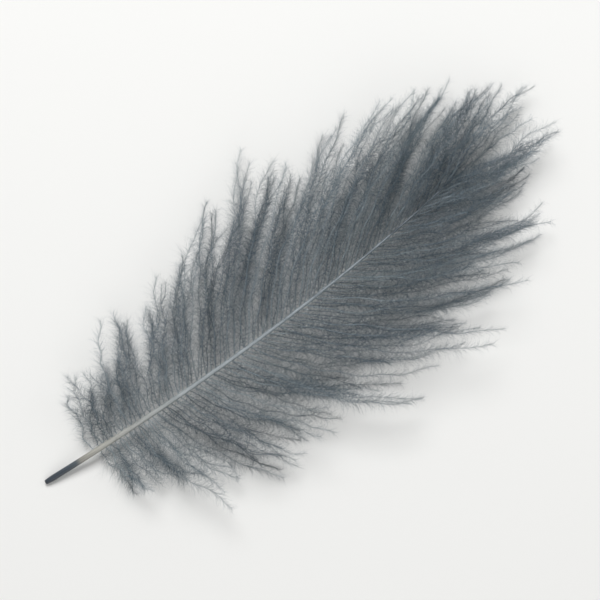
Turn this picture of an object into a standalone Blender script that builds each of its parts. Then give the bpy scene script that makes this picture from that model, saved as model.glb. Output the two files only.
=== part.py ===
"""A cul de canard feather, the small downy plume that grows round a duck's preen gland, dyed blue dun.

It lies on a surface as it would when dropped there: the foot of its quill, the ends of its lower
barbs and its tip touch the surface, and the quill bows up between them. Quill and down grew as one
piece, so they are one solid: the quill is grown ring by ring along a curve, and each lock of down
is grown out of the side of the quill, in three layers that lie over each other like soft tiles.
The last lock grows out of the quill's end.

Metres, +Z up. The quill grows towards +Y. The origin is on the surface, under the middle of the
feather's box.
"""

import math
import random

import bmesh
import bpy
from mathutils import Vector

MM = 0.001

# Quill: one cubic curve from the end of its foot to its last lock, given by its four control points
QUILL_CURVE = (
    Vector((0.0, 0.0, 0.20)) * MM,
    Vector((0.75, 14.0, 2.7)) * MM,
    Vector((0.80, 28.5, 3.3)) * MM,
    Vector((-1.3, 43.0, 1.5)) * MM,
)
FOOT_END_RADIUS = 0.20 * MM
FOOT_RADIUS = 0.26 * MM
SHAFT_RADIUS = 0.24 * MM
QUILL_TIP_RADIUS = 0.07 * MM
FOOT_SWELL_AT = 0.02
SHAFT_STARTS_AT = 0.15
FOOT_RINGS_AT = [0, 0.006, 0.02, 0.055, 0.09]
QUILL_SIDES = 8

# Down: locks leave the quill by turns on the left and on the right, and by turns in three layers
FIRST_LOCK_AT = 0.125
LOCKS_A_SIDE = 39
LAYERS = 3
LOCK_RINGS = 8
ROOT_WIDTH = 0.48 * MM
ROOT_THICKNESS = 0.26 * MM
LOCK_THICKNESS = 0.38 * MM
LOCK_WIDTH = 2.1 * MM
SWELL_POWER = 1.2

# One more lock carries on where the quill ends
END_LOCK_LENGTH = 9.0 * MM
END_LOCK_WIDTH = 1.0 * MM

# How the locks change from the foot to the tip, at 0, 1/4, 1/2, 3/4 and 1 of the downy stretch
LOCK_LENGTHS = [5.5 * MM, 13.0 * MM, 16.5 * MM, 14.5 * MM, 9.5 * MM]
LOCK_ANGLES = [math.radians(a) for a in (88, 66, 50, 38, 17)]
LOCK_CURLS = [math.radians(a) for a in (-12, -22, -26, -25, -11)]

# Lower, upper and middle layer: each leaves the quill at one slope, soon levels to the next one,
# and then droops, by this much slope for each metre of its length
QUILL_SLOPES = [-0.45, 0.60, 0.08]
LEVEL_SLOPES = [-0.08, 0.14, 0.05]
LEVELS_WITHIN = 2.0 * MM
DROOP = 12.5

# Growth is never quite even
SEED = 8
LENGTH_SPREAD = 0.18
ANGLE_SPREAD = math.radians(3.0)
CURL_SPREAD = math.radians(6.0)
SLOPE_SPREAD = 0.012

DOWN_COLOUR = (0.090, 0.107, 0.125, 1.0)
DOWN_ROUGHNESS = 0.85


def between(stops, share):
    """Reads a smooth value from evenly spaced stops, at a share from 0 to 1 of their length."""
    place = min(max(share, 0.0), 1.0) * (len(stops) - 1)
    first = min(int(place), len(stops) - 2)
    part = place - first
    before, after = max(first - 1, 0), min(first + 2, len(stops) - 1)
    start, end = stops[first], stops[first + 1]
    leaving = (end - stops[before]) / 2
    arriving = (stops[after] - start) / 2
    square, cube = part**2, part**3
    return (
        start * (2 * cube - 3 * square + 1)
        + leaving * (cube - 2 * square + part)
        + end * (3 * square - 2 * cube)
        + arriving * (cube - square)
    )


def quill_point(share):
    """The quill's centre at a share of its length."""
    a, b, c, d = QUILL_CURVE
    rest = 1 - share
    return a * rest**3 + b * 3 * rest**2 * share + c * 3 * rest * share**2 + d * share**3


def quill_directions(share):
    """Ahead along the quill, to its right, and up."""
    a, b, c, d = QUILL_CURVE
    rest = 1 - share
    ahead = ((b - a) * rest**2 + (c - b) * 2 * rest * share + (d - c) * share**2).normalized()
    right = ahead.cross(Vector((0, 0, 1))).normalized()
    return ahead, right, right.cross(ahead)


def quill_radius(share):
    """Blunt at the end of the foot, nearly even along the bare stretch, then a long taper."""
    if share < FOOT_SWELL_AT:
        turn = math.sin(share / FOOT_SWELL_AT * math.pi / 2)
        return FOOT_END_RADIUS + (FOOT_RADIUS - FOOT_END_RADIUS) * turn
    if share < SHAFT_STARTS_AT:
        part = (share - FOOT_SWELL_AT) / (SHAFT_STARTS_AT - FOOT_SWELL_AT)
        return FOOT_RADIUS + (SHAFT_RADIUS - FOOT_RADIUS) * part
    part = (share - SHAFT_STARTS_AT) / (1 - SHAFT_STARTS_AT)
    return SHAFT_RADIUS + (QUILL_TIP_RADIUS - SHAFT_RADIUS) * part


def round_outline(centre, right, up, width, height):
    """An outline round a centre: corner 0 is its right side, corner 2 its top, corner 4 its left side."""
    angles = [2 * math.pi * corner / QUILL_SIDES for corner in range(QUILL_SIDES)]
    across, above = right * width / 2, up * height / 2
    return [centre + across * math.cos(a) + above * math.sin(a) for a in angles]


def quill_ring(share):
    thickness = 2 * quill_radius(share)
    return round_outline(quill_point(share), *quill_directions(share)[1:], thickness, thickness)


def grow(bm, face, outline):
    """Extrudes a face, moves its corners to the next outline, and returns the new end face."""
    end = bmesh.ops.extrude_discrete_faces(bm, faces=[face])["faces"][0]
    for corner, place in zip(end.verts, outline):
        corner.co = place
    return end


def grow_quill(bm, shares):
    """Grows the quill through its rings and returns the corners of each ring, and the last face."""
    start = [bm.verts.new(place) for place in quill_ring(shares[0])]
    end = bm.faces.new(start)
    rings = [start]
    for share in shares[1:]:
        outline = quill_ring(share)
        order = [rings[-1].index(corner) for corner in end.verts]
        end = grow(bm, end, [outline[i] for i in order])
        ring = [None] * QUILL_SIDES
        for i, corner in zip(order, end.verts):
            ring[i] = corner
        rings.append(ring)
    bm.faces.new(list(reversed(start)))
    return rings, end


def lock_outline(centre, across, width, thickness):
    """A flattened hexagon that stands upright across the lock: back edge, underside, front edge, top."""
    side, half, up = across * width / 2, across * width / 4, Vector((0, 0, thickness / 2))
    return [
        centre - side,
        centre - half - up,
        centre + half - up,
        centre + side,
        centre + half + up,
        centre - half + up,
    ]


def lock_path(root, quill_heading, side, share, layer, chance):
    """A lock's centres and the level directions across it, from the quill to its tip."""
    length = between(LOCK_LENGTHS, share) * (1 + LENGTH_SPREAD * chance.uniform(-1, 1))
    angle = between(LOCK_ANGLES, share) + ANGLE_SPREAD * chance.uniform(-1, 1)
    curl = between(LOCK_CURLS, share) + CURL_SPREAD * chance.uniform(-1, 1)
    level = LEVEL_SLOPES[layer] + SLOPE_SPREAD * chance.uniform(-1, 1)
    centre, step = root.copy(), length / LOCK_RINGS
    path = []
    for ring in range(1, LOCK_RINGS + 1):
        heading = quill_heading + side * (angle + curl * ring / LOCK_RINGS)
        reached = (ring - 0.5) * step
        slope = level + (QUILL_SLOPES[layer] - level) * math.exp(-reached / LEVELS_WITHIN)
        slope -= DROOP * reached
        centre = centre + Vector((math.sin(heading), math.cos(heading), slope)) * step
        path.append((centre.copy(), Vector((-math.cos(heading), math.sin(heading), 0)) * side))
    return path


def lock_size(along, slant):
    """A lock's width and thickness at a share of its length. One that leaves at a slant is narrower."""
    swell = (4 * along * (1 - along)) ** SWELL_POWER
    width = ROOT_WIDTH * (1 - along) + LOCK_WIDTH * swell
    return width * slant, ROOT_THICKNESS * (1 - along) + LOCK_THICKNESS * swell


def close_at(bm, face, tip):
    """Grows a face into a tip."""
    end = grow(bm, face, [tip] * len(face.verts))
    bmesh.ops.pointmerge(bm, verts=list(end.verts), merge_co=tip)


def grow_lock(bm, face, order, path, slant):
    """Grows a lock out of the quill's side. Where it would sink below the surface, it lies on it."""
    for ring, (centre, across) in enumerate(path[:-1], start=1):
        width, thickness = lock_size(ring / LOCK_RINGS, slant)
        centre.z = max(centre.z, thickness / 2)
        outline = lock_outline(centre, across, width, thickness)
        face = grow(bm, face, [outline[i] for i in order])
    tip = path[-1][0]
    tip.z = max(tip.z, 0.0)
    close_at(bm, face, tip)


def grow_end_lock(bm, face, last_ring):
    """Grows the last lock straight on from the end of the quill."""
    order = [last_ring.index(corner) for corner in face.verts]
    end, (ahead, right, up) = quill_point(1.0), quill_directions(1.0)
    for ring in range(1, LOCK_RINGS):
        along = ring / LOCK_RINGS
        swell = (4 * along * (1 - along)) ** SWELL_POWER
        core = 2 * QUILL_TIP_RADIUS * (1 - along)
        width, thickness = core + END_LOCK_WIDTH * swell, core + LOCK_THICKNESS * swell
        outline = round_outline(end + ahead * END_LOCK_LENGTH * along, right, up, width, thickness)
        face = grow(bm, face, [outline[i] for i in order])
    close_at(bm, face, end + ahead * END_LOCK_LENGTH)


def grow_feather():
    """The whole feather in the place where it grew, with the end of its foot at the curve's start."""
    bm = bmesh.new()
    chance = random.Random(SEED)
    segments = 2 * LOCKS_A_SIDE
    bare = len(FOOT_RINGS_AT)
    downy = [FIRST_LOCK_AT + (1 - FIRST_LOCK_AT) * k / segments for k in range(segments + 1)]
    rings, quill_end = grow_quill(bm, FOOT_RINGS_AT + downy)
    grow_end_lock(bm, quill_end, rings[-1])
    for k in range(segments):
        back, front = rings[bare + k], rings[bare + k + 1]
        side = 1 if k % 2 else -1
        middle = 0 if side > 0 else QUILL_SIDES // 2
        below, above = (middle - side) % QUILL_SIDES, (middle + side) % QUILL_SIDES
        halves = [
            bm.faces.get((back[a], back[middle], front[middle], front[a])) for a in (below, above)
        ]
        face = bmesh.utils.face_join(halves)
        corners = [back[middle], back[below], front[below], front[middle], front[above], back[above]]
        order = [corners.index(corner) for corner in face.verts]
        share = k / (segments - 1)
        root = sum((corner.co for corner in corners), Vector()) / len(corners)
        ahead = quill_directions(downy[k])[0]
        path = lock_path(root, math.atan2(ahead.x, ahead.y), side, share, (k // 2) % LAYERS, chance)
        grow_lock(bm, face, order, path, math.sin(between(LOCK_ANGLES, share)))
    bmesh.ops.recalc_face_normals(bm, faces=bm.faces)
    return bm


def rest_on_origin(bm):
    """Moves the feather so that the origin is under the middle of its box, on the surface."""
    places = [vertex.co for vertex in bm.verts]
    low = Vector([min(place[axis] for place in places) for axis in range(3)])
    high = Vector([max(place[axis] for place in places) for axis in range(3)])
    middle = (low + high) / 2
    bmesh.ops.translate(bm, verts=bm.verts, vec=(-middle.x, -middle.y, -low.z))


def down_material():
    material = bpy.data.materials.new("blue_dun_down")
    material.use_nodes = True
    shader = material.node_tree.nodes["Principled BSDF"]
    shader.inputs["Base Color"].default_value = DOWN_COLOUR
    shader.inputs["Roughness"].default_value = DOWN_ROUGHNESS
    shader.inputs["Metallic"].default_value = 0.0
    return material


def main():
    for old in list(bpy.data.objects):
        bpy.data.objects.remove(old)
    bm = grow_feather()
    rest_on_origin(bm)
    mesh = bpy.data.meshes.new("feather")
    bm.to_mesh(mesh)
    bm.free()
    mesh.materials.append(down_material())
    feather = bpy.data.objects.new("feather", mesh)
    bpy.context.scene.collection.objects.link(feather)


main()
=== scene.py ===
# %% [markdown]
# A cul de canard feather is the small downy plume that grows round a duck's preen gland. Its barbs
# carry no hooks, so they never lock into a smooth vane: each barb stands by itself, with a fringe
# of fine barbules all round it. This one is dyed blue dun, a smoky blue grey.
#
# The lesson first finds the lines that the feather grows on: the line of the quill, one for each
# lock of barbs, and one for each barb. Geometry Nodes then grow the down on the lines of the barbs,
# and the quill is made last. Numbers are in metres, and MM turns a number of millimetres into
# metres. The plain solid feather is opened first, because the finished one has to lie exactly where
# that one lies.

# %% Open the plain solid feather
import math
import random

import bmesh
import bpy
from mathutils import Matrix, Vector


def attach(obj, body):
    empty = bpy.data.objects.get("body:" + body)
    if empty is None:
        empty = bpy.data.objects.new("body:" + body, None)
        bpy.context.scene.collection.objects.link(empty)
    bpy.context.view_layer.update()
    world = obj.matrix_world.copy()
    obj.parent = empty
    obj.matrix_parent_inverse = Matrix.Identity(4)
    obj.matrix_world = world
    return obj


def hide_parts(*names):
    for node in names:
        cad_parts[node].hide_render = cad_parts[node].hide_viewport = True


MM = 0.001
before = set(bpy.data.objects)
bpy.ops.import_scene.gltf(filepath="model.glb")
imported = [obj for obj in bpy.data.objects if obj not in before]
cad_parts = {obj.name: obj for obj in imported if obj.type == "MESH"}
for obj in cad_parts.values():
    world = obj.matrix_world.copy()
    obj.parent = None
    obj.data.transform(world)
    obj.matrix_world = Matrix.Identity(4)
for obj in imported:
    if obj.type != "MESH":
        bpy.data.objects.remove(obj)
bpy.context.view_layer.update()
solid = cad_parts["feather"]

# %% [markdown]
# Every node tree below, for a shape or for a material, is built with one small function. It adds a
# node, sets its options, and fills each input with a value or joins it to another node's output.
# A tree can also be drawn by hand in Blender's editor, but one in code can be read, changed and run
# again. Colours are given as they look on a screen, in hex, and turned into the linear values that
# a renderer works with.


# %% Two helpers
def add(tree, kind, options=None, inputs=None):
    """Adds a node with its options, and its inputs as values or as other nodes' outputs."""
    node = tree.nodes.new(kind)
    for name, value in (options or {}).items():
        setattr(node, name, value)
    for socket, value in (inputs or {}).items():
        if isinstance(value, bpy.types.NodeSocket):
            tree.links.new(value, node.inputs[socket])
        else:
            node.inputs[socket].default_value = value
    return node


def colour(hex_code):
    """A screen colour such as "#59636b", as linear red, green and blue with full alpha."""
    parts = [int(hex_code[i : i + 2], 16) / 255 for i in (1, 3, 5)]
    linear = [p / 12.92 if p <= 0.04045 else ((p + 0.055) / 1.055) ** 2.4 for p in parts]
    return (*linear, 1.0)


print("half grey on a screen, #808080, is", round(colour("#808080")[0], 3), "in linear light")

# %% [markdown]
# The quill is one long bow. Its foot lies on the table, it rises over the down that it carries, and
# near its tip it leans back to the left. It could be a curve drawn by hand in Blender. The same kind
# of curve is written here as a formula of four control points, because every lock of down has to
# ask it where to take root. The curve is moved so that it starts in the middle of the end of the
# solid foot, which has eight corners.

# %% The line of the quill
QUILL_POINTS = [
    Vector((0.0, 0.0, 0.20)) * MM,
    Vector((0.75, 14.0, 2.7)) * MM,
    Vector((0.80, 28.5, 3.3)) * MM,
    Vector((-1.3, 43.0, 1.5)) * MM,
]
FOOT_CORNERS = 8

corners = {tuple(round(c, 8) for c in vertex.co) for vertex in solid.data.vertices}
foot_end = sorted(corners, key=lambda corner: corner[1])[:FOOT_CORNERS]
foot = sum((Vector(corner) for corner in foot_end), Vector()) / FOOT_CORNERS
quill_curve = [point + foot - QUILL_POINTS[0] for point in QUILL_POINTS]
print("foot of the quill, mm:", [round(c / MM, 2) for c in foot])

# %% [markdown]
# Any place on the quill is named by a share, from 0 at the end of the foot to 1 where the last
# barbs leave it. One function gives the point at a share, and another the directions there: ahead,
# to the right and up. The length is the sum of many short steps.


# %% Reading the line of the quill
STEPS = 200


def quill_point(share):
    a, b, c, d = quill_curve
    rest = 1 - share
    return a * rest**3 + b * 3 * rest**2 * share + c * 3 * rest * share**2 + d * share**3


def quill_directions(share):
    """Ahead along the quill, to its right, and up."""
    a, b, c, d = quill_curve
    rest = 1 - share
    ahead = ((b - a) * rest**2 + (c - b) * 2 * rest * share + (d - c) * share**2).normalized()
    right = ahead.cross(Vector((0, 0, 1))).normalized()
    return ahead, right, right.cross(ahead)


def line_length(points):
    return sum((after - before).length for before, after in zip(points, points[1:]))


quill_length = line_length([quill_point(step / STEPS) for step in range(STEPS + 1)])
print("quill, mm long:", round(quill_length / MM, 1))

# %% [markdown]
# A quill is thickest in its bare foot, where it is hollow, and then tapers all the way. A curve in
# Blender can take its thickness from a second curve, drawn by eye. Three short rules give it in
# millimetres here: one for the blunt end, one for the foot and one for the long taper.


# %% How thick the quill is
FOOT_END_RADIUS = 0.20 * MM
FOOT_RADIUS = 0.26 * MM
SHAFT_RADIUS = 0.24 * MM
QUILL_TIP_RADIUS = 0.07 * MM
FOOT_SWELL_AT = 0.02
SHAFT_STARTS_AT = 0.15


def quill_radius(share):
    if share < FOOT_SWELL_AT:
        turn = math.sin(share / FOOT_SWELL_AT * math.pi / 2)
        return FOOT_END_RADIUS + (FOOT_RADIUS - FOOT_END_RADIUS) * turn
    if share < SHAFT_STARTS_AT:
        part = (share - FOOT_SWELL_AT) / (SHAFT_STARTS_AT - FOOT_SWELL_AT)
        return FOOT_RADIUS + (SHAFT_RADIUS - FOOT_RADIUS) * part
    part = (share - SHAFT_STARTS_AT) / (1 - SHAFT_STARTS_AT)
    return SHAFT_RADIUS + (QUILL_TIP_RADIUS - SHAFT_RADIUS) * part


thicknesses = [round(2 * quill_radius(share) / MM, 2) for share in (FOOT_SWELL_AT, 0.5, 1.0)]
print("quill, mm thick at its foot, halfway and at its tip:", thicknesses)

# %% [markdown]
# A lock is a group of barbs that lie together. The solid feather has 39 locks a side, in three
# layers: the first slopes down to the table, the second rises over the others, and the third runs
# nearly level between them. One more lock carries on where the quill ends. Barbs could be strewn
# along the quill at random, but they would leave the solid locks. So the same rules and the same
# seed are used here as there. Each layer has one slope at the quill and a flatter one further out,
# and the droop is how much slope a lock loses in a metre. A spread is how far chance may move a
# number either way.

# %% The numbers of the locks
FIRST_LOCK_AT = 0.125
LOCKS_A_SIDE = 39
LAYERS = 3
LOCK_RINGS = 8
LOCK_LENGTHS = [5.5 * MM, 13.0 * MM, 16.5 * MM, 14.5 * MM, 9.5 * MM]
LOCK_ANGLES = [math.radians(a) for a in (88, 66, 50, 38, 17)]
LOCK_CURLS = [math.radians(a) for a in (-12, -22, -26, -25, -11)]
QUILL_SLOPES = [-0.45, 0.60, 0.08]
LEVEL_SLOPES = [-0.08, 0.14, 0.05]
LEVELS_WITHIN = 2.0 * MM
DROOP = 12.5
END_LOCK_LENGTH = 9.0 * MM
END_LOCK_SLANT = 0.45
LOCK_SEED = 8
LENGTH_SPREAD = 0.18
ANGLE_SPREAD = math.radians(3.0)
CURL_SPREAD = math.radians(6.0)
SLOPE_SPREAD = 0.012
print("locks:", LOCKS_A_SIDE, "a side, in", LAYERS, "layers, and one more at the end of the quill")

# %% [markdown]
# Locks are short at the foot of the feather, longest halfway and shorter again at its tip. At the
# foot they stand out square from the quill, and towards the tip they lie closer and closer to it.
# Lengths, angles and curls each have five stops, evenly spaced along the downy stretch. Straight
# lines from stop to stop would leave corners in the outline of the feather, so a smooth curve is
# drawn through them.


# %% Reading between the stops
def between(stops, share):
    """Reads a smooth value from evenly spaced stops, at a share from 0 to 1 of their length."""
    place = min(max(share, 0.0), 1.0) * (len(stops) - 1)
    first = min(int(place), len(stops) - 2)
    part = place - first
    before, after = max(first - 1, 0), min(first + 2, len(stops) - 1)
    start, end = stops[first], stops[first + 1]
    leaving = (end - stops[before]) / 2
    arriving = (stops[after] - start) / 2
    square, cube = part**2, part**3
    return (
        start * (2 * cube - 3 * square + 1)
        + leaving * (cube - 2 * square + part)
        + end * (3 * square - 2 * cube)
        + arriving * (cube - square)
    )


halfway = [round(between(LOCK_LENGTHS, share) / MM, 1) for share in (0.125, 0.375, 0.625, 0.875)]
print("locks, mm long halfway between the stops:", halfway)

# %% [markdown]
# Barbs leave a real quill from its two flanks. The roots could be put right on its surface, but
# their blunt ends would then show, so each takes root a little inside. A side is 1 for the right
# and -1 for the left, and the locks take root by turns on the two sides.


# %% Where the locks take root
ROOT_DEPTH = 0.8
STEP_SHARE = (1 - FIRST_LOCK_AT) / (2 * LOCKS_A_SIDE)


def quill_flank(share, side):
    """A point just inside the side of the quill, where barbs take root."""
    right = quill_directions(share)[1]
    return quill_point(share) + right * side * quill_radius(share) * ROOT_DEPTH


print("from one root to the next, mm along the quill:", round(STEP_SHARE * quill_length / MM, 2))

# %% [markdown]
# No two locks of a real feather are alike, so each gets numbers of its own. They could be drawn
# wholly at random, but then the feather would lose its shape. So its place on the quill gives each
# number, and chance only moves it a little. The layers go by turns too, one for each pair of locks.


# %% One lock's own numbers
def lock_numbers(number, chance):
    share = number / (2 * LOCKS_A_SIDE - 1)
    layer = (number // 2) % LAYERS
    return {
        "side": 1 if number % 2 else -1,
        "starts": FIRST_LOCK_AT + STEP_SHARE * number,
        "length": between(LOCK_LENGTHS, share) * (1 + LENGTH_SPREAD * chance.uniform(-1, 1)),
        "angle": between(LOCK_ANGLES, share) + ANGLE_SPREAD * chance.uniform(-1, 1),
        "curl": between(LOCK_CURLS, share) + CURL_SPREAD * chance.uniform(-1, 1),
        "slope": QUILL_SLOPES[layer],
        "level": LEVEL_SLOPES[layer] + SLOPE_SPREAD * chance.uniform(-1, 1),
    }


sample = lock_numbers(LOCKS_A_SIDE, random.Random(0))
print("a lock from the middle leaves at", round(math.degrees(sample["angle"])), "degrees")

# %% [markdown]
# A lock leaves the quill at its angle, curls towards the tip of the feather, levels out and droops.
# Its line could be one more formula, but a formula would sink through the table. It is walked in
# eight steps instead, and each step is stopped at the table.


# %% The line of one lock
def make_lock(number, chance):
    own = lock_numbers(number, chance)
    side, starts, level = own["side"], own["starts"], own["level"]
    ahead = quill_directions(starts)[0]
    quill_heading = math.atan2(ahead.x, ahead.y)
    centre = (quill_flank(starts, side) + quill_flank(starts + STEP_SHARE, side)) / 2
    step = own["length"] / LOCK_RINGS
    centres, across = [centre], []
    for ring in range(1, LOCK_RINGS + 1):
        heading = quill_heading + side * (own["angle"] + own["curl"] * ring / LOCK_RINGS)
        reached = (ring - 0.5) * step
        slope = level + (own["slope"] - level) * math.exp(-reached / LEVELS_WITHIN)
        slope -= DROOP * reached
        centre = centre + Vector((math.sin(heading), math.cos(heading), slope)) * step
        centre.z = max(centre.z, 0.0)
        centres.append(centre)
        across.append(Vector((-math.cos(heading), math.sin(heading), 0)) * side)
    across.insert(0, across[0])
    return {
        "side": side,
        "root": starts + STEP_SHARE / 2,
        "slant": math.sin(own["angle"]),
        "centres": centres,
        "across": across,
    }


sample = make_lock(LOCKS_A_SIDE, random.Random(0))
print("a lock from the middle, mm long:", round(line_length(sample["centres"]) / MM, 1))

# %% [markdown]
# The last barbs leave the quill at its very end and carry its line on. They are one more lock,
# straight ahead. The ends of all the lines are then compared with the tips of the solid locks. If
# they were far apart, a number here and a number there would differ.


# %% The lines of all the locks
def make_end_lock():
    end, (ahead, right, _) = quill_point(1.0), quill_directions(1.0)
    centres = [end + ahead * END_LOCK_LENGTH * ring / LOCK_RINGS for ring in range(LOCK_RINGS + 1)]
    across = [right] * len(centres)
    return {"side": 0, "root": 1.0, "slant": END_LOCK_SLANT, "centres": centres, "across": across}


lock_chance = random.Random(LOCK_SEED)
locks = [make_lock(number, lock_chance) for number in range(2 * LOCKS_A_SIDE)] + [make_end_lock()]
tips = [Vector(corner) for corner in corners]
misses = [min((lock["centres"][-1] - tip).length for tip in tips) for lock in locks]
print("locks:", len(locks), "- greatest distance from a solid tip, mm:", round(max(misses) / MM, 3))

# %% [markdown]
# The barbs are the fine branches that carry the down. Three of them share a lock: they take root
# side by side along the quill, spread over the width of the lock and close up a little towards its
# tip. Hair curves could be combed into such locks, but they are not a mesh, and an export drops
# them. A real barb is 0.03 mm thick, which is a third of a pixel, so it is drawn twice as thick.

# %% The numbers of the barbs
BARBS_A_LOCK = 3
BARB_POINTS = 30
BARB_SEED = 20
BARB_RADIUS = 0.032 * MM
BARB_TIP_RADIUS = 0.008 * MM
TAPER_POWER = 0.8
HALF_LOCK = 0.80 * MM
SETTLED_AT = 0.3
CLOSING = 0.45
LEAST_REACH = 0.86
DRIFT = 0.9 * MM
STRAY_SHARE = 1 / 8
STRAY_FACTOR = 2.0
STRAY_REACH = 0.81
print("barbs:", BARBS_A_LOCK * len(locks), "- one in", round(1 / STRAY_SHARE), "strays")

# %% [markdown]
# No barb grows straight. Each has a slow bend or two that grow towards its tip, with a small ripple
# on them, both sideways and up and down. Noise would do this too, but two sine waves can be given in
# millimetres.


# %% The waves of a barb
SWAY = 0.70 * MM
RISE = 0.24 * MM
LEAST_SWAY = 0.3
RIPPLE = 0.10 * MM
SWAY_POWER = 1.2
BENDS = (0.5, 1.4)
RIPPLES = (2.8, 5.0)
RIPPLE_FULL_AT = 0.2


def wave_along(chance, sway):
    """A random wave along a barb, which gives how far aside it is at a share of its length."""
    bends, ripples = chance.uniform(*BENDS), chance.uniform(*RIPPLES)
    first, second = chance.uniform(0, 2 * math.pi), chance.uniform(0, 2 * math.pi)

    def aside(along):
        bend = math.sin(2 * math.pi * bends * along + first) - math.sin(first)
        ripple = math.sin(2 * math.pi * ripples * along + second) * min(along / RIPPLE_FULL_AT, 1.0)
        return sway * along**SWAY_POWER * bend + RIPPLE * ripple

    return aside


sample = wave_along(random.Random(0), SWAY)
print("one barb's way aside, mm:", [round(sample(quarter / 4) / MM, 2) for quarter in range(5)])

# %% [markdown]
# The down on a barb changes along it. Its barbules are longest halfway, and near its tip they are
# thinner and lie closer to it. They could all be made alike, but then every barb would look like a
# bottle brush. So four numbers travel with each point of a barb: its radius there, the length of
# its barbules, its tone, which says how pale it is, and its vigour, which is the share of their
# full thickness and lean that the barbules reach. Fluff makes all the barbules of a barb longer or
# shorter.

# %% What travels along a barb
TRAVELLING = ("radius", "barbule", "tone", "vigour")
BARBULE_LENGTHS = [0.90 * MM, 1.60 * MM, 1.75 * MM, 1.55 * MM, 0.90 * MM]
VIGOURS = [1.0, 1.0, 1.0, 0.93, 0.68]
FLUFF_ALONG_QUILL = [1.05, 1.05, 1.02, 0.95, 0.80]
FLUFF = (0.75, 1.15)
TONE, TONE_SPREAD = 0.5, 0.2
print("barbules along a barb, mm long:", [round(length / MM, 2) for length in BARBULE_LENGTHS])

# %% [markdown]
# A barb is first only a line of points, because a line is quick to bend and to measure. It follows
# the line of its lock, and its own length, fluff and tone are drawn by chance. One barb in eight
# strays from its lock. It could be bent by hand, but its waves are simply made twice as large, and
# it ends a little sooner.


# %% The line of one barb
def barb_line(lock, place, chance):
    """One barb's points and what travels with them. Its place is from -1 to 1 across the lock."""
    strays = chance.random() < STRAY_SHARE
    stray = STRAY_FACTOR if strays else 1.0
    reach = chance.uniform(LEAST_REACH, 1.0) * (STRAY_REACH if strays else 1.0)
    aside = wave_along(chance, SWAY * stray * chance.uniform(LEAST_SWAY, 1.0))
    above = wave_along(chance, RISE * stray * chance.uniform(LEAST_SWAY, 1.0))
    fluff = chance.uniform(*FLUFF) * between(FLUFF_ALONG_QUILL, lock["root"])
    drift = DRIFT * chance.uniform(-1.0, 1.0)
    tone = min(max(chance.gauss(TONE, TONE_SPREAD), 0.0), 1.0)
    own_root = quill_flank(min(lock["root"] + place * STEP_SHARE, 1.0), lock["side"])
    shift = own_root - lock["centres"][0]
    line = {name: [] for name in ("points", *TRAVELLING)}
    for number in range(BARB_POINTS):
        part = number / (BARB_POINTS - 1)
        along = part * reach
        settled = 1 - (1 - min(along / SETTLED_AT, 1.0)) ** 2
        spread = place * HALF_LOCK * lock["slant"] * settled * (1 - CLOSING * along**2)
        point = between(lock["centres"], along) + shift * (1 - settled)
        point += between(lock["across"], along) * (spread + drift * along + aside(along))
        point.z += above(along)
        thinner = (1 - part) ** TAPER_POWER
        line["points"].append(point)
        line["radius"].append(BARB_TIP_RADIUS + (BARB_RADIUS - BARB_TIP_RADIUS) * thinner)
        line["barbule"].append(fluff * between(BARBULE_LENGTHS, part))
        line["tone"].append(tone)
        line["vigour"].append(between(VIGOURS, part))
    return line


sample = barb_line(locks[LOCKS_A_SIDE], 0.0, random.Random(0))
print("a barb from the middle, mm long:", round(line_length(sample["points"]) / MM, 1))

# %% [markdown]
# Now every lock gets its three barbs, one at each edge and one in the middle. Each barb could draw
# with a seed of its own, but one seed for all is enough, because the barbs are always made in the
# same order.

# %% The lines of all the barbs
barb_chance = random.Random(BARB_SEED)
places = [2 * n / (BARBS_A_LOCK - 1) - 1 for n in range(BARBS_A_LOCK)]
barbs = [barb_line(lock, place, barb_chance) for lock in locks for place in places]
barb_length = sum(line_length(barb["points"]) for barb in barbs)
print("barbs:", len(barbs), "- together", round(barb_length, 2), "m long")

# %% [markdown]
# Two finishes change from one shade to another: the down from thread to thread, and the quill from
# its foot to its tip. Mix nodes could blend such shades two by two, but a colour ramp holds them
# all in one node. A new ramp has two stops of its own, and this helper puts the listed ones in
# their place.


# %% The shades of a ramp
DOWN_SHADES = [(0.0, "#2f3d49"), (0.5, "#4b5d6b"), (1.0, "#94a0aa")]
QUILL_SHADES = [
    (0.000, "#39414a"),
    (0.056, "#414a53"),
    (0.076, "#50595f"),
    (0.087, "#94928b"),
    (0.130, "#b3b2aa"),
    (0.350, "#a3aaad"),
    (0.700, "#949da3"),
    (1.000, "#828c95"),
]


def set_shades(ramp, shades):
    """Gives a colour ramp its stops, each a place from 0 to 1 and a screen colour."""
    ramp.elements.remove(ramp.elements[1])
    ramp.elements[0].color = colour(shades[0][1])
    for place, hex_code in shades[1:]:
        ramp.elements.new(place).color = colour(hex_code)


print("shades of the down:", len(DOWN_SHADES), "- of the quill:", len(QUILL_SHADES))

# %% [markdown]
# Down is keratin, the stuff of horn and hair, grown as threads and then dyed. Dye takes unevenly:
# some threads stay pale and silvery, others turn slate, and patches lean towards olive. Blender has
# a shader for hair, but it is made for hair curves, so the standard one is used. Its colour follows
# the tone of each thread, and a slow noise with patches about 6 mm wide shifts it a little.

# %% Material: dyed duck down, its colour
PATCH_SIZE = 6 * MM
OLIVE_TINT = "#f6f6ec"

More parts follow.
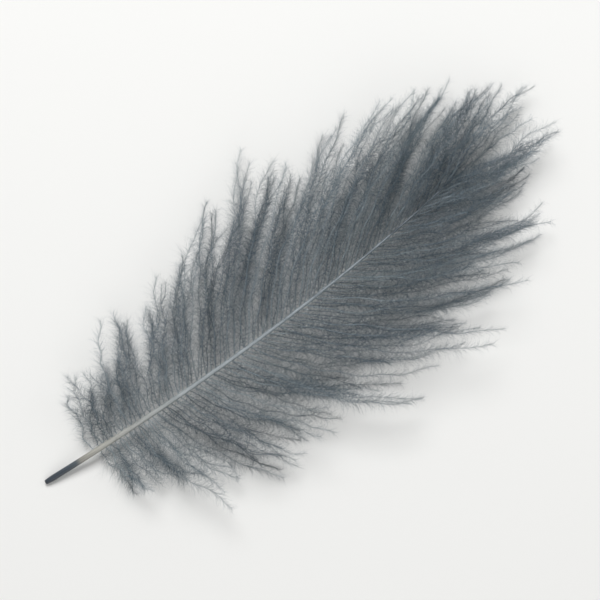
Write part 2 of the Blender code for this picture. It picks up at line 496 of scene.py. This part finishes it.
down_material = bpy.data.materials.new("dyed_duck_down")
down_material.use_nodes = True
down_tree = down_material.node_tree
down_shader = down_tree.nodes["Principled BSDF"]
thread_tone = add(down_tree, "ShaderNodeAttribute", {"attribute_name": "tone"})
thread_shade = add(down_tree, "ShaderNodeValToRGB", None, {"Fac": thread_tone.outputs["Fac"]})
set_shades(thread_shade.color_ramp, DOWN_SHADES)
place = add(down_tree, "ShaderNodeTexCoord").outputs["Object"]
patch = add(down_tree, "ShaderNodeTexNoise", None, {"Vector": place, "Scale": 1 / PATCH_SIZE})
olive = add(
    down_tree,
    "ShaderNodeMix",
    {"data_type": "RGBA", "blend_type": "MULTIPLY"},
    {"Factor": patch.outputs["Fac"], "A": thread_shade.outputs["Color"], "B": colour(OLIVE_TINT)},
)
down_tree.links.new(olive.outputs["Result"], down_shader.inputs["Base Color"])
print("nodes so far:", len(down_tree.nodes))

# %% [markdown]
# Threads of down are silky more than shiny. A clear coat would make them look wet, so their gloss
# is a middling roughness, a little different from patch to patch, and a little sheen. Keratin bends
# light a little more than window glass does, so its index of refraction is 1.54.

# %% Material: dyed duck down, its gloss
DOWN_SMOOTHEST, DOWN_ROUGHEST = 0.45, 0.65
KERATIN_IOR = 1.54

silk = add(
    down_tree,
    "ShaderNodeMapRange",
    None,
    {"Value": patch.outputs["Fac"], "To Min": DOWN_SMOOTHEST, "To Max": DOWN_ROUGHEST},
)
down_tree.links.new(silk.outputs["Result"], down_shader.inputs["Roughness"])
down_shader.inputs["IOR"].default_value = KERATIN_IOR
down_shader.inputs["Sheen Weight"].default_value = 0.12
down_shader.inputs["Sheen Roughness"].default_value = 0.4
print("material:", down_material.name, "with", len(down_tree.nodes), "nodes")

# %% [markdown]
# Barbules are the finest branches, a hundredth of a millimetre thick and one or two millimetres
# long. Games paint them on flat cards, but cards look like paper from the side, so every barbule
# here has a shape of its own. There are far too many to place by hand, and a Geometry Nodes tree
# grows them on the lines of the barbs. Each size that a maker may want to try is an input of the
# tree. Real barbules are closer together and thinner than a pixel can show, so these are drawn
# about twice as thick and as far apart.

# %% The tree and its inputs
INPUTS = {
    "Barb lines": ("NodeSocketGeometry", None),
    "Barb sides": ("NodeSocketInt", 4),
    # painted light in part: this added tone also lightens the barbs against the shade of their barbules
    "Barbs paler with painted light by": ("NodeSocketFloat", 0.50),
    "Barbule step": ("NodeSocketFloat", 0.0325 * MM),
    "Barbule sides": ("NodeSocketInt", 3),
    "Barbule radius": ("NodeSocketFloat", 0.0095 * MM),
    "Tip aside": ("NodeSocketFloat", 0.684 * MM),
    "Least lean, fan, spin": ("NodeSocketVector", [math.radians(a) for a in (25, -75, 0)]),
    "Greatest lean, fan, spin": ("NodeSocketVector", [math.radians(a) for a in (85, 75, 360)]),
    "Least length, tone": ("NodeSocketVector", (0.6, -0.35, 0.0)),
    "Greatest length, tone": ("NodeSocketVector", (1.1, 0.25, 0.0)),
    "Press": ("NodeSocketFloat", 0.05 * MM),
    "Seed": ("NodeSocketInt", 5),
    "Down": ("NodeSocketMaterial", None),
}

grow_down = bpy.data.node_groups.new("grow_down", "GeometryNodeTree")
for name, (kind, value) in INPUTS.items():
    socket = grow_down.interface.new_socket(name, in_out="INPUT", socket_type=kind)
    if value is not None:
        socket.default_value = value
grow_down.interface.new_socket("Grown down", in_out="OUTPUT", socket_type="NodeSocketGeometry")
given = add(grow_down, "NodeGroupInput").outputs
print("inputs of the tree:", len(INPUTS))

# %% [markdown]
# First come the barbs themselves. Their lines become curves, and a small square is swept along each
# one, as large as the radius that travels with the points. A rounder outline would only cost faces,
# because a barb is narrower than a pixel. Barbs are paler than their barbules, and their tone is
# raised further as painted light: the barbules around them shade them, and the extra paleness makes
# them show as pale threads that catch the light.

# %% The tree grows the barbs
curves = add(grow_down, "GeometryNodeMeshToCurve", None, {0: given["Barb lines"]}).outputs[0]
outline = add(
    grow_down, "GeometryNodeCurvePrimitiveCircle", None, {"Resolution": given["Barb sides"], "Radius": 1.0}
)
barb_radius = add(grow_down, "GeometryNodeInputNamedAttribute", None, {"Name": "radius"})
tubes = add(
    grow_down,
    "GeometryNodeCurveToMesh",
    None,
    {
        "Curve": curves,
        "Profile Curve": outline.outputs[0],
        "Scale": barb_radius.outputs[0],
        "Fill Caps": True,
    },
)
barb_tone = add(grow_down, "GeometryNodeInputNamedAttribute", None, {"Name": "tone"}).outputs[0]
# Barbs' own paler colour plus painted light: the added tone lightens them where their barbules shade them
paler = add(
    grow_down, "ShaderNodeMath", {"operation": "ADD"}, {0: barb_tone, 1: given["Barbs paler with painted light by"]}
)
toned_barbs = add(
    grow_down,
    "GeometryNodeStoreNamedAttribute",
    None,
    {"Geometry": tubes.outputs[0], "Name": "tone", "Value": paler.outputs[0]},
)
print("nodes so far:", len(grow_down.nodes))

# %% [markdown]
# One barbule is a slender cone with a joint halfway. A curve would be smoother, but there will be
# some ninety thousand of them, so each has only ten triangles. It is made one unit high with a
# radius of one unit, to be stretched to size later. It bends aside by the square of its height,
# which keeps its foot upright and carries its tip away.

# %% The tree makes one barbule
cone = add(
    grow_down,
    "GeometryNodeMeshCone",
    None,
    {
        "Vertices": given["Barbule sides"],
        "Side Segments": 2,
        "Radius Top": 0.0,
        "Radius Bottom": 1.0,
        "Depth": 1.0,
    },
)
place = add(grow_down, "GeometryNodeInputPosition").outputs[0]
height = add(grow_down, "ShaderNodeSeparateXYZ", None, {0: place}).outputs["Z"]
square = add(grow_down, "ShaderNodeMath", {"operation": "MULTIPLY"}, {0: height, 1: height}).outputs[0]
bend = add(
    grow_down,
    "ShaderNodeMath",
    {"operation": "DIVIDE"},
    {0: given["Tip aside"], 1: given["Barbule radius"]},
).outputs[0]
aside = add(grow_down, "ShaderNodeMath", {"operation": "MULTIPLY"}, {0: square, 1: bend}).outputs[0]
offset = add(grow_down, "ShaderNodeCombineXYZ", None, {"X": aside}).outputs[0]
barbule = add(
    grow_down, "GeometryNodeSetPosition", None, {"Geometry": cone.outputs["Mesh"], "Offset": offset}
)
print("nodes so far:", len(grow_down.nodes))

# %% [markdown]
# The tree now walks along each barb in even steps, because one barbule will stand at each. Barbules
# are set out from their barb, so every step gets axes that travel with the barb: Z runs ahead along
# it, and X is level. The normals of the curve could serve as axes too, but they roll about it where
# it bends.

# %% The tree walks along the barbs
walk = add(
    grow_down,
    "GeometryNodeCurveToPoints",
    {"mode": "LENGTH"},
    {"Curve": curves, "Length": given["Barbule step"]},
).outputs
level = add(
    grow_down,
    "ShaderNodeVectorMath",
    {"operation": "CROSS_PRODUCT"},
    {0: walk["Tangent"], 1: (0.0, 0.0, 1.0)},
)
pointed = add(
    grow_down,
    "FunctionNodeAxesToRotation",
    {"primary_axis": "Z", "secondary_axis": "X"},
    {"Primary Axis": walk["Tangent"], "Secondary Axis": level.outputs[0]},
)
print("nodes so far:", len(grow_down.nodes))

# %% [markdown]
# Barbules leave by turns on both sides, point partly ahead, and fan up and down, which gives the
# down its loft. Each could be pointed by sums of directions, but angles are easier to read and to
# try out. Chance draws three of them: the lean away from the line of the barb, the fan about it,
# and the spin of the barbule about itself, which says to which side it bends. Low vigour makes the
# lean less. Lean and fan make the first turn, and spin makes the second.

# %% The tree points the barbules
drawn = add(
    grow_down,
    "FunctionNodeRandomValue",
    {"data_type": "FLOAT_VECTOR"},
    {0: given["Least lean, fan, spin"], 1: given["Greatest lean, fan, spin"], "Seed": given["Seed"]},
)
angles = add(grow_down, "ShaderNodeSeparateXYZ", None, {0: drawn.outputs[0]}).outputs
vigour = add(grow_down, "GeometryNodeInputNamedAttribute", None, {"Name": "vigour"}).outputs[0]
lean = add(grow_down, "ShaderNodeMath", {"operation": "MULTIPLY"}, {0: angles["X"], 1: vigour}).outputs[0]
index = add(grow_down, "GeometryNodeInputIndex").outputs[0]
side = add(grow_down, "ShaderNodeMath", {"operation": "MODULO"}, {0: index, 1: 2.0}).outputs[0]
turn = add(
    grow_down, "ShaderNodeMath", {"operation": "MULTIPLY_ADD"}, {0: side, 1: math.pi, 2: angles["Y"]}
).outputs[0]
for turns in ({"Y": lean, "Z": turn}, {"Z": angles["Z"]}):
    euler = add(grow_down, "ShaderNodeCombineXYZ", None, turns).outputs[0]
    turned_by = add(grow_down, "FunctionNodeEulerToRotation", None, {0: euler}).outputs[0]
    pointed = add(
        grow_down,
        "FunctionNodeRotateRotation",
        {"rotation_space": "LOCAL"},
        {"Rotation": pointed.outputs[0], "Rotate By": turned_by},
    )
print("nodes so far:", len(grow_down.nodes))

# %% [markdown]
# Neighbouring barbules differ in size and in shade. All of them could share the length that travels
# with the barb, but the edge of its fringe would look clipped. So chance makes each one longer or
# shorter than that, and paler or darker. Low vigour makes it thinner.

# %% The tree sizes the barbules
other_seed = add(grow_down, "ShaderNodeMath", {"operation": "ADD"}, {0: given["Seed"], 1: 1.0}).outputs[0]
drawn = add(
    grow_down,
    "FunctionNodeRandomValue",
    {"data_type": "FLOAT_VECTOR"},
    {0: given["Least length, tone"], 1: given["Greatest length, tone"], "Seed": other_seed},
)
own = add(grow_down, "ShaderNodeSeparateXYZ", None, {0: drawn.outputs[0]}).outputs
usual_length = add(grow_down, "GeometryNodeInputNamedAttribute", None, {"Name": "barbule"}).outputs[0]
own_length = add(
    grow_down, "ShaderNodeMath", {"operation": "MULTIPLY"}, {0: usual_length, 1: own["X"]}
).outputs[0]
own_radius = add(
    grow_down, "ShaderNodeMath", {"operation": "MULTIPLY"}, {0: given["Barbule radius"], 1: vigour}
).outputs[0]
size = add(
    grow_down, "ShaderNodeCombineXYZ", None, {"X": own_radius, "Y": own_radius, "Z": own_length}
)
own_tone = add(grow_down, "ShaderNodeMath", {"operation": "ADD"}, {0: barb_tone, 1: own["Y"]})
print("nodes so far:", len(grow_down.nodes))

# %% [markdown]
# Now a barbule is set at every step. A copy of its mesh could be put there, but an instance is
# lighter: one barbule in memory stands in many places until the very end. Its tone is stored with
# it, so that it has one tone from its foot to its tip.

# %% The tree sets the barbules
fringe = add(
    grow_down,
    "GeometryNodeInstanceOnPoints",
    None,
    {
        "Points": walk["Points"],
        "Instance": barbule.outputs[0],
        "Rotation": pointed.outputs[0],
        "Scale": size.outputs[0],
    },
)
toned_fringe = add(
    grow_down,
    "GeometryNodeStoreNamedAttribute",
    {"domain": "INSTANCE"},
    {"Geometry": fringe.outputs[0], "Name": "tone", "Value": own_tone.outputs[0]},
)
print("nodes so far:", len(grow_down.nodes))

# %% [markdown]
# Down that lies on a table is flattened there. It could be cut off at the table or pushed up to it,
# but both leave hard flat ends, so it is pressed gently. With h for half the height of a point, h
# squared and the press squared are added up, and the new height is h plus the square root of that.
# A point high above the table hardly moves, one on the table is lifted by the press, and none ends
# below it. The instances are made real first, because only real points can be moved one by one.

# %% The tree presses the down and hands it over
both = add(grow_down, "GeometryNodeJoinGeometry", None, {0: toned_barbs.outputs[0]})
grow_down.links.new(toned_fringe.outputs[0], both.inputs[0])
real = add(grow_down, "GeometryNodeRealizeInstances", None, {0: both.outputs[0]})
place = add(grow_down, "GeometryNodeInputPosition").outputs[0]
parts = add(grow_down, "ShaderNodeSeparateXYZ", None, {0: place}).outputs
half = add(grow_down, "ShaderNodeMath", {"operation": "MULTIPLY"}, {0: parts["Z"], 1: 0.5}).outputs[0]
press_square = add(
    grow_down, "ShaderNodeMath", {"operation": "MULTIPLY"}, {0: given["Press"], 1: given["Press"]}
).outputs[0]
under_root = add(
    grow_down, "ShaderNodeMath", {"operation": "MULTIPLY_ADD"}, {0: half, 1: half, 2: press_square}
).outputs[0]
root = add(grow_down, "ShaderNodeMath", {"operation": "SQRT"}, {0: under_root}).outputs[0]
lifted = add(grow_down, "ShaderNodeMath", {"operation": "ADD"}, {0: half, 1: root}).outputs[0]
above = add(grow_down, "ShaderNodeCombineXYZ", None, {"X": parts["X"], "Y": parts["Y"], "Z": lifted})
pressed = add(
    grow_down, "GeometryNodeSetPosition", None, {"Geometry": real.outputs[0], "Position": above.outputs[0]}
)
dyed = add(
    grow_down, "GeometryNodeSetMaterial", None, {"Geometry": pressed.outputs[0], "Material": given["Down"]}
)
add(grow_down, "NodeGroupOutput", None, {0: dyed.outputs[0]})
print("tree:", grow_down.name, "with", len(grow_down.nodes), "nodes")

# %% [markdown]
# The tree works on a mesh that has only points and edges, which is what the lines of the barbs are
# now made into. A curve object could hold the lines too, but not the four numbers that travel with
# the points, which become attributes of the mesh.


# %% Lines as a mesh
def line_mesh(name, lines):
    points, edges = [], []
    for line in lines:
        first = len(points)
        points += line["points"]
        edges += [(first + n, first + n + 1) for n in range(len(line["points"]) - 1)]
    mesh = bpy.data.meshes.new(name)
    mesh.from_pydata(points, edges, [])
    for attribute in TRAVELLING:
        values = [value for line in lines for value in line[attribute]]
        mesh.attributes.new(attribute, "FLOAT", "POINT").data.foreach_set("value", values)
    return mesh


sample = line_mesh("sample_lines", barbs[:1])
print("a mesh for one barb:", len(sample.vertices), "points and", len(sample.edges), "edges")
bpy.data.meshes.remove(sample)

# %% [markdown]
# A tree works as a modifier on an object. The modifier could stay there, but other programs can
# only read a plain mesh, so the result is kept as one and the modifier goes. Its inputs have to be
# set by the identifiers of their sockets, because two sockets may share a name.


# %% Run the tree
def grown_mesh(guide, values):
    """Runs the tree on the guide with these input values and returns the result as a plain mesh."""
    modifier = guide.modifiers.new("grow_down", "NODES")
    modifier.node_group = grow_down
    for item in grow_down.interface.items_tree:
        if item.in_out == "INPUT" and item.name in values:
            modifier[item.identifier] = values[item.name]
    evaluated = guide.evaluated_get(bpy.context.evaluated_depsgraph_get())
    mesh = bpy.data.meshes.new_from_object(evaluated)
    guide.modifiers.remove(modifier)
    return mesh


def grown_down(name, lines, seed):
    guide = bpy.data.objects.new(name + "_lines", line_mesh(name + "_lines", lines))
    bpy.context.scene.collection.objects.link(guide)
    mesh = grown_mesh(guide, {"Seed": seed, "Down": down_material})
    bpy.data.objects.remove(guide)
    return mesh


sample = grown_down("sample", barbs[:1], 0)
print("the down of one barb:", len(sample.polygons), "faces")
bpy.data.meshes.remove(sample)

# %% [markdown]
# One mesh for all the down would be too heavy to handle, so it is grown in six stretches, from the
# foot to the tip, each with about the same length of barbs. The tree draws with its seed and with
# the next one, so every stretch starts two seeds on. What only the growing needed is taken off
# again: two of the attributes, and the empty slot for a material that the cones bring along.


# %% Grow the down, stretch by stretch
STRETCHES = ["foot", "lower", "middle", "upper", "crown", "tip"]
SEEDS_A_STRETCH = 2


def grow_stretch(name, lines, seed):
    mesh = grown_down(name, lines, seed)
    for attribute in ("barbule", "vigour"):
        mesh.attributes.remove(mesh.attributes[attribute])
    if mesh.materials[0] is None:
        mesh.materials.pop(index=0)
    mesh.name = name
    piece = bpy.data.objects.new(name, mesh)
    bpy.context.scene.collection.objects.link(piece)
    mesh.calc_loop_triangles()
    print(name, "-", len(lines), "barbs,", len(mesh.loop_triangles), "triangles")
    return piece


groups, length_done = [[] for _ in STRETCHES], 0.0
for barb in barbs:
    groups[int(length_done / barb_length * len(STRETCHES))].append(barb)
    length_done += line_length(barb["points"])
down_pieces = [
    grow_stretch("down_" + stretch, lines, SEEDS_A_STRETCH * number)
    for number, (stretch, lines) in enumerate(zip(STRETCHES, groups))
]

# %% [markdown]
# The quill is horn. Its bare foot is round and hollow, with a small mouth at the end where the
# growing feather was fed. Further up it is a little flatter, with a groove along its underside. It
# could be a curve with a bevel, but such a section is the same all the way, so the quill is made
# ring by ring. First comes the shape of its section.


# %% The section of the quill
GROOVE_STARTS_AT = 0.10
GROOVE_FORMS_WITHIN = 0.08
GROOVE_DEPTH = 0.22
GROOVE_SHARPNESS = 12
FLATTENED = 0.10


def quill_section(share, angle):
    """How far the surface is from the centre line, as a share of the radius."""
    formed = min(max((share - GROOVE_STARTS_AT) / GROOVE_FORMS_WITHIN, 0.0), 1.0)
    below = max(-math.sin(angle), 0.0)
    groove = GROOVE_DEPTH * below**GROOVE_SHARPNESS
    flat = FLATTENED * math.sin(angle) ** 2
    return 1 - formed * (groove + flat)


sides = [round(quill_section(0.5, math.radians(degrees)), 2) for degrees in (0, 90, 270)]
print("halfway along, the right, top and underside are at these shares of the radius:", sides)

# %% [markdown]
# One ring of the quill is a loop of corners at a share of its length. Twenty of them look round
# even from close by, and more would only cost faces. Size makes a ring smaller than the quill is
# there, which the mouth and the point need.


# %% One ring of the quill
QUILL_SIDES = 20


def quill_ring(shell, share, size):
    """The corners of one ring, from its underside round to the right."""
    centre, radius = quill_point(share), quill_radius(min(share, 1.0)) * size
    right, up = quill_directions(share)[1:]
    ring = []
    for number in range(QUILL_SIDES):
        angle = 2 * math.pi * number / QUILL_SIDES - math.pi / 2
        reach = radius * quill_section(share, angle)
        ring.append(shell.verts.new(centre + (right * math.cos(angle) + up * math.sin(angle)) * reach))
    return ring


print("one side of a ring at the foot, mm:", round(2 * math.pi * FOOT_RADIUS / QUILL_SIDES / MM, 3))

# %% [markdown]
# A band of four-sided faces runs from one ring to the next. A map of the surface goes with it:
# across the map is round the quill, and up the map is the share of its length. Blender could unwrap
# the quill by itself, but its map would not say how far along a place is. The seam runs along the
# underside, where it is out of sight.


# %% The band between two rings
def quill_band(shell, quill_map, low, high, start, end):
    """The faces between two rings that are at these shares of the length."""
    for number in range(QUILL_SIDES):
        after = (number + 1) % QUILL_SIDES
        face = shell.faces.new((low[number], low[after], high[after], high[number]))
        face.smooth = True
        edge, far_edge = number / QUILL_SIDES, (number + 1) / QUILL_SIDES
        places = ((edge, start), (far_edge, start), (far_edge, end), (edge, end))
        for loop, place in zip(face.loops, places):
            loop[quill_map].uv = place


print("faces in a band:", QUILL_SIDES, "- each this share of the map across:", 1 / QUILL_SIDES)

# %% [markdown]
# The rings start inside the mouth, turn out over its rim, follow the quill and close in a small
# blunt point. Both ends could stay open, but an open shell has no inside for a renderer or a
# printer to go by, so one face closes each.


# %% The quill, ring by ring
QUILL_RINGS = 240
MOUTH = [(0.006, 0.30), (0.004, 0.45), (0.0, 0.60)]
POINT_LENGTH = 0.003
POINT_SIZE = 0.3


def make_quill():
    shell = bmesh.new()
    quill_map = shell.loops.layers.uv.new("quill_map")
    outside = [(number / QUILL_RINGS, 1.0) for number in range(QUILL_RINGS + 1)]
    rows = MOUTH + outside + [(1 + POINT_LENGTH, POINT_SIZE)]
    rings = [quill_ring(shell, share, size) for share, size in rows]
    for (start, _), (end, _), low, high in zip(rows, rows[1:], rings, rings[1:]):
        quill_band(shell, quill_map, low, high, start, end)
    shell.faces.new(list(reversed(rings[0])))
    shell.faces.new(rings[-1])
    bmesh.ops.recalc_face_normals(shell, faces=shell.faces)
    open_edges = sum(1 for edge in shell.edges if not edge.is_manifold)
    print("quill:", len(shell.faces), "faces,", open_edges, "open edges")
    mesh = bpy.data.meshes.new("quill")
    shell.to_mesh(mesh)
    shell.free()
    return mesh


quill = bpy.data.objects.new("quill", make_quill())
bpy.context.scene.collection.objects.link(quill)

# %% [markdown]
# Horn is smooth, hard and a little clear, with fine streaks along it. The foot was in the skin and
# took up the most dye, so it is slate for its first 3.3 mm. Past that the shaft is bare, silvery and
# slightly warm, and towards the tip it turns the blue grey of the down. A photo could be wrapped
# round it, but a ramp of shades along the map of the surface is sharp from any distance.

# %% Material: dyed horn, its shades
horn = bpy.data.materials.new("dyed_quill_horn")
horn.use_nodes = True
horn_tree = horn.node_tree
horn_shader = horn_tree.nodes["Principled BSDF"]
on_map = add(horn_tree, "ShaderNodeUVMap", {"uv_map": "quill_map"}).outputs["UV"]
along = add(horn_tree, "ShaderNodeSeparateXYZ", None, {0: on_map}).outputs["Y"]
horn_shade = add(horn_tree, "ShaderNodeValToRGB", None, {"Fac": along})
set_shades(horn_shade.color_ramp, QUILL_SHADES)
print("shades from foot to tip:", len(horn_shade.color_ramp.elements))

# %% [markdown]
# Streaks of horn are 0.01 mm wide. Streaks that fine would not show, so they are drawn 0.1 mm wide
# and 1.5 mm long. They could be painted one by one, but a noise that is stretched along the quill
# makes them all at once. It turns the horn a little darker or paler.

# %% Material: dyed horn, its streaks
STREAK_WIDTH = 0.1 * MM
STREAK_LENGTH = 1.5 * MM
DARKEST, PALEST = 0.82, 1.06

streaks_round = 2 * math.pi * SHAFT_RADIUS / STREAK_WIDTH
streaks_along = quill_length / STREAK_LENGTH
stretched = add(
    horn_tree, "ShaderNodeMapping", None, {"Vector": on_map, "Scale": (streaks_round, streaks_along, 1.0)}
)
streak = add(horn_tree, "ShaderNodeTexNoise", None, {"Vector": stretched.outputs[0], "Scale": 1.0})
darker = add(
    horn_tree,
    "ShaderNodeMapRange",
    None,
    {
        "Value": streak.outputs["Fac"],
        "From Min": 0.3,
        "From Max": 0.7,
        "To Min": DARKEST,
        "To Max": PALEST,
    },
)
streaked = add(
    horn_tree,
    "ShaderNodeVectorMath",
    {"operation": "SCALE"},
    {0: horn_shade.outputs["Color"], "Scale": darker.outputs["Result"]},
)
horn_tree.links.new(streaked.outputs["Vector"], horn_shader.inputs["Base Color"])
print("streaks:", round(streaks_round), "round the quill and", round(streaks_along), "along it")

# %% [markdown]
# Horn shines as a fingernail does, with a gloss that fine ridges break up. With one roughness all
# over it would look like plastic, so the same streaks make it a little glossier here and duller
# there. They also work as a bump, which only turns the light, because ridges 0.02 mm high are too
# low to model.

# %% Material: dyed horn, its gloss
HORN_SMOOTHEST, HORN_ROUGHEST = 0.28, 0.48
RIDGE_HEIGHT = 0.02 * MM

dulled = add(
    horn_tree,
    "ShaderNodeMapRange",
    None,
    {"Value": streak.outputs["Fac"], "To Min": HORN_SMOOTHEST, "To Max": HORN_ROUGHEST},
)
horn_tree.links.new(dulled.outputs["Result"], horn_shader.inputs["Roughness"])
bump = add(
    horn_tree,
    "ShaderNodeBump",
    None,
    {"Height": streak.outputs["Fac"], "Strength": 0.5, "Distance": RIDGE_HEIGHT},
)
horn_tree.links.new(bump.outputs["Normal"], horn_shader.inputs["Normal"])
horn_shader.inputs["IOR"].default_value = KERATIN_IOR
quill.data.materials.append(horn)
print("material:", horn.name, "with", len(horn_tree.nodes), "nodes")

# %% [markdown]
# The finished pieces could lie loose in the scene, but then nothing would say what they belong to.
# So each is told to move with the feather's one body, and the solid feather is hidden.

# %% Put the pieces in the solid feather's place
for piece in [quill] + down_pieces:
    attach(piece, "root")
    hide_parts("feather")
print("pieces:", ", ".join(piece.name for piece in [quill] + down_pieces))

# %% [markdown]
# The feather lies on plain pale paper. A backdrop that curves up behind would show its bend from a
# low angle. A flat sheet three metres wide is so much larger than the feather that no edge of it
# shows, and it fades into grey where the lamps no longer reach.

# %% The table
HALF_TABLE = 1500 * MM

floor_mesh = bpy.data.meshes.new("table")
table_corners = [(x * HALF_TABLE, y * HALF_TABLE, 0.0) for x, y in ((-1, -1), (1, -1), (1, 1), (-1, 1))]
floor_mesh.from_pydata(table_corners, [], [(0, 1, 2, 3)])
floor = bpy.data.objects.new("table", floor_mesh)
bpy.context.scene.collection.objects.link(floor)
paper = bpy.data.materials.new("matte_paper")
paper.use_nodes = True
paper_shader = paper.node_tree.nodes["Principled BSDF"]
paper_shader.inputs["Base Color"].default_value = colour("#eeeeec")
paper_shader.inputs["Roughness"].default_value = 0.9
floor_mesh.materials.append(paper)
print("table, mm wide:", round(2 * HALF_TABLE / MM))

# %% [markdown]
# The light is that of a small photo studio: one soft lamp high up on the feather's left, which
# draws the shape, a weaker one on its right that fills the shadows, one beyond its tip that catches
# the edges of the down, and an even pale surround. One lamp alone would leave the down between the
# barbs black. Each lamp has a place, a width in metres and a power in watts, and looks at the
# feather.

# %% Lights
LAMPS = {
    "key": ((-0.22, 0.10, 0.30), 0.16, 1.2),
    "fill": ((0.26, -0.12, 0.22), 0.26, 0.25),
    "rim": ((0.05, 0.30, 0.20), 0.16, 0.14),
}
SURROUND = 0.30

for name, (place, width, watts) in LAMPS.items():
    lamp = bpy.data.lights.new(name, "AREA")
    lamp.size, lamp.energy = width, watts
    lamp_object = bpy.data.objects.new(name, lamp)
    lamp_object.location = place
    lamp_object.rotation_euler = (-Vector(place)).to_track_quat("-Z", "Y").to_euler()
    bpy.context.scene.collection.objects.link(lamp_object)
    print(name, "lamp:", round(Vector(place).length, 2), "m away,", watts, "W")
world = bpy.data.worlds.new("surround")
world.use_nodes = True
world.node_tree.nodes["Background"].inputs["Color"].default_value = colour("#ffffff")
world.node_tree.nodes["Background"].inputs["Strength"].default_value = SURROUND
bpy.context.scene.world = world
bpy.context.scene.view_settings.view_transform = "Standard"

# %% [markdown]
# The camera hangs straight above the feather, because that is how the photo looks at it. A long
# lens from a little way off keeps the view flat, where a short one close by would swell its middle.
# Turned by 55 degrees, it shows the quill rising from the lower left at 35 degrees.

# %% Camera
VIEW_WIDTH = 51 * MM
LENS = 120.0
SENSOR = 36.0
TURN = math.radians(55)

camera = bpy.data.cameras.new("camera")
camera.lens, camera.sensor_width = LENS, SENSOR
camera.clip_start, camera.clip_end = 0.01, 10.0
camera_object = bpy.data.objects.new("camera", camera)
camera_object.location = (0.0, 0.0, VIEW_WIDTH * LENS / SENSOR)
camera_object.rotation_euler = (0.0, 0.0, TURN)
bpy.context.scene.collection.objects.link(camera_object)
bpy.context.scene.camera = camera_object
print("camera, mm above the table:", round(camera_object.location.z / MM))

# %% [markdown]
# Last, the scene is brought up to date, so that every piece stands where it was put.

# %% Finish
bpy.context.view_layer.update()
